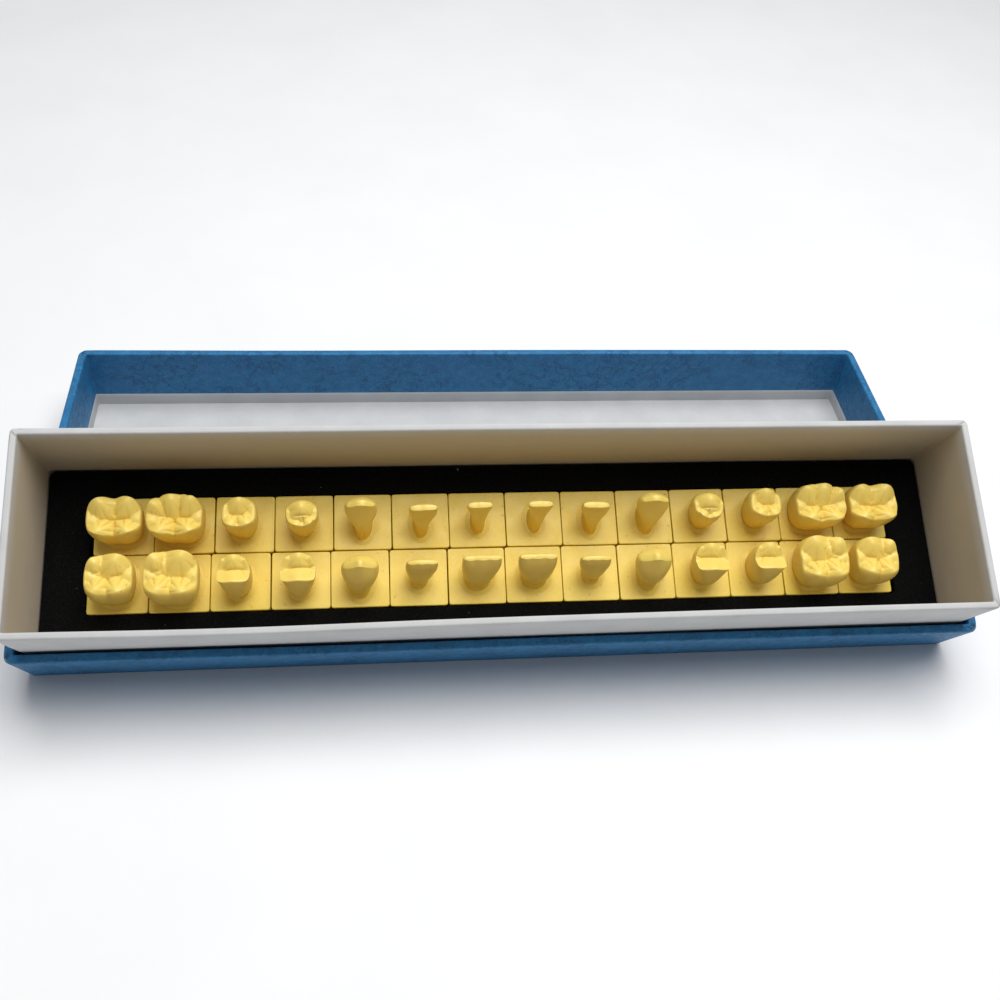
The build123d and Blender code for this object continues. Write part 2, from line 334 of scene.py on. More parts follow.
def leatherette():
    """Blue embossed paper: crackled grain, paler worn ridges and darker creases, with a painted
    highlight on its convex edges and painted shade in its corner folds.
    """
    s = Shader("blue_leatherette", 0.50, Specular_IOR_Level=0.42)
    warp = s.node("ShaderNodeTexNoise", Vector=s.place, Scale=260.0, Detail=3.0)
    spread = s.node("ShaderNodeVectorMath", Vector=warp.outputs["Color"])
    spread.operation = "SCALE"
    spread.inputs["Scale"].default_value = 0.0028
    shifted = s.node("ShaderNodeVectorMath")
    shifted.operation = "ADD"
    s.feed(shifted.inputs[0], s.place)
    s.feed(shifted.inputs[1], spread.outputs["Vector"])
    where = shifted.outputs["Vector"]

    def cracks(size_mm, edge):
        made = s.node("ShaderNodeTexVoronoi", Vector=where, Scale=1000 / size_mm)
        made.feature = "DISTANCE_TO_EDGE"
        return s.ramp(made.outputs["Distance"], (0.0, 0.0), (edge, 1.0))

    fine = cracks(1.3, 0.30)
    swirl = s.noise(7, 6, 0.70, 0.3, where)
    line = s.maths("ABSOLUTE", s.maths("SUBTRACT", swirl, 0.5))
    crinkle = s.ramp(line, (0.0, 0.0), (0.028, 1.0))
    patches = s.ramp(s.noise(24, 2, 0.5), (0.38, 0.0), (0.55, 1.0))
    crease = s.maths("MULTIPLY", s.maths("SUBTRACT", 1.0, crinkle), patches)
    grain = s.noise(0.45, 4, 0.6)
    colour = s.mix(s.ramp(s.noise(3.5, 5, 0.65), (0.35, 0.0), (0.68, 1.0)), (0.012, 0.150, 0.345),
                   (0.026, 0.215, 0.450))
    colour = s.mix(s.maths("MULTIPLY", crease, 0.70), colour, (0.006, 0.050, 0.130))
    colour = s.mix(s.maths("MULTIPLY", s.maths("SUBTRACT", 1.0, fine), 0.30), colour,
                   (0.010, 0.085, 0.205))
    colour = s.mix(s.maths("MULTIPLY", s.ramp(grain, (0.55, 0.0), (0.75, 1.0)), 0.22), colour,
                   (0.08, 0.32, 0.55))
    # Painted highlight: paler on the convex edges and the rounded rim.
    colour = s.mix(s.maths("MULTIPLY", s.attribute("edge"), 0.8), colour, (0.14, 0.45, 0.70))
    # Painted shade: darker along the folds at the corners.
    colour = s.mix(s.maths("MULTIPLY", s.attribute("fold"), 0.75), colour, (0.008, 0.030, 0.075))
    normal = s.bump(s.maths("SUBTRACT", 1.0, crease), 0.10, 0.7)
    normal = s.bump(fine, 0.10, 0.7, normal)
    normal = s.bump(grain, 0.03, 0.5, normal)
    rough = s.ramp(s.noise(2.5, 3), (0.3, 0.44), (0.7, 0.60))
    return s.finish(colour, normal, rough)


def greyboard():
    """Recycled grey board, seen only inside the wrapped walls."""
    s = Shader("grey_board", 0.88)
    fibre = s.noise(0.7, 6, 0.7, 1.5, s.stretched((0.3, 1.0, 1.0)))
    colour = s.ramp(fibre, (0.3, (0.22, 0.21, 0.19)), (0.7, (0.40, 0.385, 0.36)))
    return s.finish(colour, s.bump(fibre, 0.10, 0.6))


# The record's material slots and their looks.
LOOKS = {"tooth_resin": resin(), "black_foam": foam(), "white_paper": white_paper(),
         "blue_leatherette": leatherette(), "greyboard": greyboard()}

# Teeth. Each casting is one closed surface of rings with the same number of points: the block's
# underside, its sides, its top, the thin collar, the tooth's wall, and its chewing surface or
# biting edge. u points towards the middle of the jaw, v towards the cheek or lip; millimetres.
AROUND = 128             # points in a ring
TURN = np.arange(AROUND) * 2 * pi / AROUND
CENTRE_RINGS = 34        # rings over a chewing surface
BLOCK_HALF = 9.85
BLOCK_THICK = 10.0
# The collar steps up from the block to the tooth: (distance out from the neck, height).
COLLAR = ((1.7, 0.0), (1.6, 0.14), (1.5, 0.20), (1.2, 0.22), (1.08, 0.34), (0.8, 0.38),
          (0.68, 0.48), (0.35, 0.52))
COLLAR_TOP = 0.55
ROOT_HEIGHT = 9.0        # how far up the fine level rings show
# How far up each tooth the deeper orange at its foot reaches: partly the thicker resin, partly
# painted shade.
AMBER_AND_SHADE_HEIGHT = {"upper": 9.0, "lower": 15.0}
# The blocks sit loose in their window: each may be turned (radians), shifted and sunk this much.
LOOSE_TURN, LOOSE_SHIFT, LOOSE_SINK = 0.006, 0.06, 0.2


def bell(centre, width, power=2.0):
    """A rounded hump of height 1 round the tooth at an angle, both angles in degrees."""
    gap = np.abs((TURN - radians(centre) + pi) % (2 * pi) - pi)
    return np.exp(-(gap / radians(width)) ** power)


def outline(mesial, distal, cheek, tongue, cheek_square=2.4, tongue_square=None):
    """A closed curve round a tooth: four half widths, and how square its two sides are."""
    c, s = np.cos(TURN), np.sin(TURN)
    square = cheek_square + ((tongue_square or cheek_square) - cheek_square) * ease(0.5 - 2 * s)
    u = np.sign(c) * np.abs(c) ** (2 / square) * np.where(c > 0, mesial, distal)
    v = np.sign(s) * np.abs(s) ** (2 / square) * np.where(s > 0, cheek, tongue)
    return np.stack([u, v], 1)


def along(points, w):
    """Value at w of a smooth curve through (w, value) points."""
    xs, ys = np.array(points, float).T
    slopes = np.gradient(ys, xs)
    i = np.clip(np.searchsorted(xs, w) - 1, 0, len(xs) - 2)
    h = xs[i + 1] - xs[i]
    t = np.clip((w - xs[i]) / h, 0, 1)
    rise = (3 - 2 * t) * t**2
    return (ys[i] + (ys[i + 1] - ys[i]) * rise
            + h * t * (1 - t) * ((1 - t) * slopes[i] - t * slopes[i + 1]))


def smooth_max(a, b, blend):
    """The higher of two heights, with the corner between them rounded over blend."""
    h = np.clip(0.5 + 0.5 * (a - b) / blend, 0, 1)
    return b * (1 - h) + a * h + blend * h * (1 - h)


def line_gap(plan, a, b):
    """Distance of each point from the line a-b in plan, and how far along the line it is."""
    a, b = np.array(a, float), np.array(b, float)
    t = np.clip((plan - a) @ (b - a) / max((b - a) @ (b - a), 1e-9), 0, 1)
    return np.hypot(*(plan - a - t[:, None] * (b - a)).T), t


VALLEY_RISE = 0.26       # rise of the valley's floor towards the rim, mm a mm
OUTER_FALL = 0.25        # fall of a cusp's outer slope, beside its own inner fall
SIDE_FALL = 0.12         # how much steeper a cusp is along the row
TIP_ROUND = 0.7          # radius of a cusp's tip
DEEP_CRIMP, SHALLOW_CRIMP = 0.22, 0.09


def chewing_surface(shape, plan):
    """Height over a premolar's or molar's chewing surface: cusps and ridges with valleys between."""
    height = shape["height"]
    pit = np.array(shape["pit"], float)
    # The floor of the valley rises from the ends of the pit to the rim.
    beyond = np.maximum(np.abs(plan[:, 0] - pit[0]) - shape["pit_half"], 0)
    z = height - shape["depth"] + VALLEY_RISE * beyond
    for number, (tip_u, tip_v, drop, fall) in enumerate(shape["cusps"]):
        tip = np.array([tip_u, tip_v], float)
        inward = (pit - tip) / np.hypot(*(pit - tip))
        away = plan - tip
        ahead = away @ inward
        aside = away @ np.array([-inward[1], inward[0]])
        steep = np.where(ahead > 0, fall, OUTER_FALL)
        gap = np.hypot(steep * ahead, (fall + SIDE_FALL) * aside)
        # Small ridges run from each tip down its inner slope.
        spread = np.arctan2(aside, np.maximum(ahead, 0.3))
        crimp = (1 - np.abs(np.sin(shape["crimps"] / 2 * spread + 0.7 * number + 0.5))) ** 2
        carved = DEEP_CRIMP if tip_v * shape["carved"] > 0 else SHALLOW_CRIMP
        gap = gap * (1 + carved * crimp * ease(np.hypot(ahead, aside) / 3))
        slope = np.sqrt(gap**2 + TIP_ROUND**2) - TIP_ROUND
        z = smooth_max(z, height - drop - slope * (0.80 + 0.08 * slope), 0.16)
    for a, b, drop_a, drop_b, fall in shape["ridges"]:
        gap, t = line_gap(plan, a, b)
        ridge = height - drop_a - (drop_b - drop_a) * t - fall * np.sqrt(gap**2 + 0.25) + 0.5 * fall
        z = smooth_max(z, ridge, 0.6)
    for a, b, depth, width in shape["grooves"]:
        gap, t = line_gap(plan, a, b)
        taper = ease(t / 0.2 + 0.4) * ease((1 - t) / 0.3 + 0.1)
        z -= depth * np.exp(-np.abs(gap / width) ** 1.5) * taper
    return z


def back_tooth(shape):
    """Rings of a premolar or molar from its neck to the middle of its chewing surface."""
    height = shape["height"]
    neck, belly, crest = outline(*shape["neck"]), outline(*shape["belly"]), outline(*shape["crest"])
    for angle, depth, width in shape["notches"]:
        dent = (depth * bell(angle, width))[:, None]
        crest = crest * (1 - 0.10 * dent)
        belly = belly * (1 - 0.045 * dent)
    top = chewing_surface(shape, crest)
    across, beside = shape["belly_level"]
    level = (across + (beside - across) * np.abs(np.cos(TURN)) ** 1.5) * height
    rings = []
    for w in np.linspace(0, 1, 9)[:-1]:
        swell = 1 - (1 - w) ** 1.8
        rings.append(np.column_stack([neck + (belly - neck) * swell, level * w]))
    # A cheek wall may run straight up to its cusps while the tongue wall rounds over.
    cheek_part = ease(0.5 + 0.9 * np.sin(TURN))
    round_over = shape["tongue_round"] + (shape["cheek_round"] - shape["tongue_round"]) * cheek_part
    for phi in np.linspace(0, pi / 2, 14):
        up = np.sin(phi) ** (2 / round_over)
        out = np.cos(phi) ** (2 / round_over)
        plan = crest + (belly - crest) * out[:, None]
        rings.append(np.column_stack([plan, level + (top - level) * up]))
    half = shape["pit_half"]
    core = np.column_stack([shape["pit"][0] + half * np.cos(TURN), np.full(AROUND, shape["pit"][1])])
    for rho in np.linspace(1, 0, CENTRE_RINGS)[1:]:
        plan = core + (crest - core) * rho
        rings.append(np.column_stack([plan, chewing_surface(shape, plan)]))
    return rings


def front_tooth(shape):
    """Rings of an incisor or canine from its neck to its biting edge."""
    height = shape["height"]
    tip_half = shape["mesial"][-1][1]
    root, gum_line = np.linspace(0, 0.18, 6), np.linspace(0.20, 0.29, 9)
    wall, near_tip = np.linspace(0.32, 0.9, 19), np.array([0.925, 0.95, 0.97, 0.985, 1.0])
    rings = []
    for share in np.concatenate([root, gum_line, wall, near_tip]):
        mesial, distal, lip, tongue, square = (
            along(shape[name], share) for name in ("mesial", "distal", "lip", "tongue", "square"))
        middle, half = (lip + tongue) / 2, (lip - tongue) / 2
        ring = outline(mesial, distal, half, half, square)
        part = ring[:, 0] / np.where(ring[:, 0] > 0, mesial, distal)
        scoop = shape["hollow"] * np.exp(-((share - 0.66) / 0.2) ** 2 - (part / 0.55) ** 2)
        ring[:, 1] += scoop * ease(-ring[:, 1] / half * 1.6)
        lobes = shape["lobes"] * np.cos(part * 3 * pi) * ease(share * 2 - 0.6)
        ring[:, 1] += lobes * ease(ring[:, 1] / half) + middle
        # The crown overhangs its root in a fine rim that dips at the lip and at the tongue.
        rim = shape["rim"] * ease((share - 0.215) / 0.04) * (1 - ease((share - 0.27) / 0.3))
        ring += rim * np.stack([np.cos(TURN), np.sin(TURN)], 1)
        dip = 0.9 * np.cos(2 * TURN) * np.exp(-((share - 0.25) / 0.13) ** 2)
        drop = along(shape["edge"], np.clip(ring[:, 0] / tip_half, -1.2, 1.2))
        level = share * (height - drop * share**2) + dip * ease(share / 0.1)
        rings.append(np.column_stack([ring, level]))
    last = rings[-1][:, :2].copy()
    core = np.column_stack([0.86 * tip_half * np.cos(TURN), np.full(AROUND, last[:, 1].mean())])
    for rho in (0.66, 0.33, 0.0):
        plan = core + (last - core) * rho
        drop = along(shape["edge"], np.clip(plan[:, 0] / tip_half, -1.2, 1.2))
        rings.append(np.column_stack([plan, height - drop + 0.12 * (1 - rho)]))
    return rings


def block(collar):
    """Rings from the middle of the block's underside, up its sides and over its top to the collar."""
    c, s = np.cos(TURN), np.sin(TURN)
    reach = (np.abs(c) ** 36 + np.abs(s) ** 36) ** (-1 / 36)
    square = np.stack([c * reach, s * reach], 1)
    sizes = [(0.2, -BLOCK_THICK), (BLOCK_HALF - 0.5, -BLOCK_THICK),
             (BLOCK_HALF - 0.2, -BLOCK_THICK), (BLOCK_HALF, 0.2 - BLOCK_THICK),
             (BLOCK_HALF, 0.5 - BLOCK_THICK), (BLOCK_HALF, -5.0), (BLOCK_HALF, -0.45),
             (BLOCK_HALF, -0.24), (BLOCK_HALF - 0.07, -0.07), (BLOCK_HALF - 0.24, 0.0),
             (BLOCK_HALF - 0.45, 0.0)]
    rings = [np.column_stack([square * size, np.full(AROUND, z)]) for size, z in sizes]
    start = rings[-1][:, :2]
    for t in (0.25, 0.5, 0.75, 1):
        rings.append(np.column_stack([start + (collar - start) * t, np.zeros(AROUND)]))
    return rings


def casting(shape, seed, amber_and_shade_height):
    """Points and faces of one tooth on its block, with the attributes its resin is shaded by."""
    tooth = back_tooth(shape) if "cusps" in shape else front_tooth(shape)
    neck = tooth[0][:, :2]
    outward = neck / np.hypot(*neck.T)[:, None]
    rings = block(neck + outward * COLLAR[0][0])
    flat_rings = len(rings)
    for reach, z in COLLAR[1:]:
        rings.append(np.column_stack([neck + outward * reach, np.full(AROUND, z)]))
    height = shape["height"]
    for ring in tooth:
        ring[:, :2] += np.array(shape["lean"]) * ease(ring[:, 2:] / height * 1.2)
        ring[:, 2] = COLLAR_TOP + ring[:, 2] * (1 - COLLAR_TOP / height)
    rings += tooth
    points = np.concatenate(rings)
    on_crown = ease((points[:, 2] - 0.4) / 2)
    middle = points[:, :2] / np.maximum(np.hypot(*points[:, :2].T), 1.0)[:, None]
    points[:, :2] += middle * (wobble(points, seed, 0.10, 3.0) * on_crown)[:, None]
    points[:, 2] += 0.06 * wobble(points, seed + 50, 1.0, 2.2) * on_crown
    faces = ring_faces(len(rings), AROUND)
    # The last ring folds shut along a line, so its two halves share their points.
    end = (len(rings) - 1) * AROUND
    shut = {end + j: end + min(j, AROUND - j) for j in range(AROUND)}
    faces = [tuple(dict.fromkeys(shut.get(i, i) for i in face)) for face in faces]
    faces.append(tuple(reversed(range(AROUND))))
    points = points[:end + AROUND // 2 + 1]
    flat = np.zeros(len(points))
    flat[:flat_rings * AROUND] = 1.0
    level = points[:, 2]
    above_collar = ease((level - COLLAR_TOP) / 0.8)
    root = (1 - ease(level / ROOT_HEIGHT)) * above_collar
    # Deeper orange at the foot (partly thicker resin, partly painted shade) and paler high on the
    # crown (painted light).
    amber_and_shade = (1 - ease(level / amber_and_shade_height)) * above_collar
    crown = ease((level - 3) / 7)
    return points, faces, {"flat": flat, "root": root, "amber_and_shade": amber_and_shade, "crown": crown,
                           "level": level}


# Half widths are (mesial, distal, cheek, tongue, squareness of the cheek and tongue side). A cusp
# is (u, v, drop below the highest tip, fall of its slope); a ridge runs from a to b with the drops
# at its ends and its fall; a groove runs from a to b with its depth and width. Notches are angles
# round the crown where its wall has a groove: 0 is mesial and 90 the cheek. Front teeth have their
# half widths and their lip and tongue faces as curves over the share of the height.
UPPER = {
    "central_incisor": dict(
        height=18.5, square=[(0, 2.1), (0.4, 2.2), (0.75, 3.0), (1, 4.0)], hollow=0.8, lobes=0.12,
        rim=0.6, lean=(0.5, 0.0),
        mesial=[(0, 4.7), (0.12, 4.5), (0.27, 5.0), (0.5, 6.0), (0.75, 6.6), (1, 6.3)],
        distal=[(0, 4.7), (0.12, 4.5), (0.27, 5.0), (0.5, 6.0), (0.75, 6.5), (1, 6.1)],
        lip=[(0, 5.3), (0.1, 4.5), (0.2, 3.6), (0.27, 3.8), (0.4, 3.8), (0.6, 2.9), (0.8, 1.3),
             (0.9, 0.25), (1, -1.05)],
        tongue=[(0, -4.8), (0.12, -4.7), (0.28, -5.3), (0.45, -5.1), (0.65, -4.6), (0.82, -4.0),
                (0.93, -3.3), (1, -2.5)],
        edge=[(-1.2, 0.9), (-0.8, 0.35), (-0.45, 0.38), (-0.2, 0.1), (-0.05, 0.0), (0.1, 0.3),
              (0.45, 0.18), (0.8, 0.1), (1.2, 0.5)]),
    "lateral_incisor": dict(
        height=17.8, square=[(0, 2.1), (0.4, 2.2), (0.75, 2.7), (1, 3.2)], hollow=0.6, lobes=0.07,
        rim=0.55, lean=(0.5, 0.0),
        mesial=[(0, 3.3), (0.12, 2.9), (0.27, 3.5), (0.5, 4.7), (0.75, 5.4), (1, 5.2)],
        distal=[(0, 3.3), (0.12, 2.9), (0.27, 3.5), (0.5, 4.7), (0.75, 5.3), (1, 4.7)],
        lip=[(0, 4.2), (0.1, 3.4), (0.2, 2.6), (0.27, 2.7), (0.4, 2.8), (0.6, 2.3), (0.8, 1.25),
             (0.9, 0.6), (1, -0.35)],
        tongue=[(0, -3.8), (0.12, -3.7), (0.28, -4.3), (0.45, -4.1), (0.65, -3.5), (0.82, -3.0),
                (0.93, -2.4), (1, -1.7)],
        edge=[(-1.2, 1.7), (-0.8, 0.8), (-0.15, 0.0), (0.2, 0.1), (0.8, 0.5), (1.2, 1.0)]),
    "canine": dict(
        height=19.0, square=[(0, 2.1), (0.4, 2.1), (0.8, 2.3), (1, 2.8)], hollow=0.2, lobes=0.0,
        rim=0.6, lean=(0.2, 0.0),
        mesial=[(0, 3.7), (0.12, 3.3), (0.27, 4.2), (0.5, 5.8), (0.75, 6.2), (1, 5.5)],
        distal=[(0, 3.7), (0.12, 3.3), (0.27, 4.2), (0.5, 5.8), (0.75, 6.2), (1, 5.5)],
        lip=[(0, 7.2), (0.1, 6.3), (0.2, 5.3), (0.3, 5.5), (0.45, 5.5), (0.65, 4.4), (0.82, 2.6),
             (0.92, 1.4), (1, 0.4)],
        tongue=[(0, -5.3), (0.12, -5.2), (0.3, -6.0), (0.45, -6.0), (0.65, -5.4), (0.8, -4.4),
                (0.92, -3.1), (1, -1.8)],
        edge=[(-1.2, 5.0), (-0.8, 3.2), (-0.35, 1.2), (-0.08, 0.0), (0.1, 0.0), (0.35, 1.1),
              (0.8, 2.9), (1.2, 4.6)]),
    "first_premolar": dict(
        height=17.0, depth=4.6, cheek_round=1.15, tongue_round=2.1, belly_level=(0.40, 0.72),
        lean=(-0.1, 0.0), crimps=7, carved=1,
        neck=(3.7, 3.7, 5.4, 5.2, 2.2), belly=(5.7, 5.7, 7.0, 6.6, 1.75, 2.3),
        crest=(5.7, 5.7, 3.9, 5.5, 5.0, 2.3), pit=(0.0, -1.1), pit_half=3.0,
        cusps=[(0.2, -4.7, 0.9, 0.66)], notches=[],
        ridges=[((-5.5, 3.6), (0.2, 3.8), 1.9, 0.0, 0.72), ((0.2, 3.8), (5.5, 3.2), 0.0, 1.7, 0.72),
                ((0.2, 3.6), (0.4, 0.0), 0.1, 3.2, 0.6), ((-5.2, -1.6), (-4.2, -4.2), 3.4, 2.0, 0.6),
                ((5.2, -1.6), (4.2, -4.2), 3.2, 2.0, 0.6)],
        grooves=[((4.0, -1.3), (-4.0, -1.0), 0.5, 0.35), ((3.4, -1.2), (5.9, -1.8), 0.35, 0.4)]),
    "second_premolar": dict(
        height=16.5, depth=4.3, cheek_round=1.2, tongue_round=2.1, belly_level=(0.40, 0.72),
        lean=(-0.8, 0.0), crimps=7, carved=1,
        neck=(3.7, 3.7, 5.3, 5.2, 2.2), belly=(5.3, 5.3, 6.9, 6.6, 1.8, 2.3),
        crest=(5.2, 5.2, 3.7, 5.3, 4.5, 2.3), pit=(0.0, -0.9), pit_half=2.4,
        cusps=[(0.0, -4.5, 0.6, 0.68)], notches=[],
        ridges=[((-5.0, 3.4), (0.0, 3.6), 1.2, 0.0, 0.72), ((0.0, 3.6), (5.0, 3.2), 0.0, 1.2, 0.72),
                ((0.0, 3.4), (0.1, 0.0), 0.2, 3.0, 0.6), ((-4.8, -1.4), (-3.8, -4.0), 3.2, 1.8, 0.6),
                ((4.8, -1.4), (3.8, -4.0), 3.0, 1.8, 0.6)],
        grooves=[((3.4, -1.1), (-3.4, -0.8), 0.45, 0.35), ((2.4, -1.0), (3.8, 1.2), 0.3, 0.35)]),
    "first_molar": dict(
        height=15.8, depth=5.0, cheek_round=1.8, tongue_round=2.2, belly_level=(0.40, 0.74),
        lean=(-1.0, 0.0), crimps=8, carved=1,
        neck=(6.2, 6.2, 7.2, 7.3, 2.4), belly=(8.7, 8.8, 8.9, 8.7, 2.9),
        crest=(8.0, 8.0, 6.5, 7.5, 3.2), pit=(-0.1, 1.1), pit_half=1.6,
        cusps=[(3.9, 5.9, 0.0, 0.66), (-3.9, 5.4, 0.2, 0.68), (3.4, -5.9, 0.1, 0.60),
               (-5.4, -5.4, 0.7, 0.64),
               (7.4, 0.0, 2.7, 0.50), (-7.3, -0.6, 2.9, 0.50)],
        notches=[(92, 0.9, 9), (252, 0.5, 8)],
        ridges=[],
        grooves=[((5.4, 0.4), (0.4, 0.9), 0.5, 0.40), ((-0.4, 1.3), (-0.5, 6.0), 0.6, 0.45),
                 ((-6.4, -1.0), (-3.0, -1.6), 0.5, 0.45), ((-3.0, -1.6), (-2.0, -7.0), 0.6, 0.45)]),
    "second_molar": dict(
        height=15.2, depth=4.7, cheek_round=1.8, tongue_round=2.2, belly_level=(0.40, 0.74),
        lean=(-0.6, 0.0), crimps=7, carved=1,
        neck=(5.7, 5.7, 6.8, 6.6, 2.4), belly=(7.6, 7.7, 8.3, 7.9, 2.8),
        crest=(6.9, 6.9, 5.9, 6.7, 3.0), pit=(0.0, 0.3), pit_half=1.2,
        cusps=[(3.3, 5.2, 0.0, 0.68), (-3.5, 4.7, 0.4, 0.72), (2.3, -5.0, 0.1, 0.62),
               (-4.6, -4.6, 1.1, 0.7),
               (6.3, -0.4, 2.6, 0.50), (-6.2, -0.6, 2.8, 0.50)],
        notches=[(92, 0.8, 9), (246, 0.4, 8)],
        ridges=[],
        grooves=[((4.6, -0.6), (0.4, 0.2), 0.5, 0.38), ((-0.2, 0.6), (-0.3, 5.4), 0.5, 0.42),
                 ((-5.2, -1.0), (-2.6, -1.6), 0.4, 0.40), ((-2.6, -1.6), (-2.6, -6.0), 0.4, 0.40)]),
}
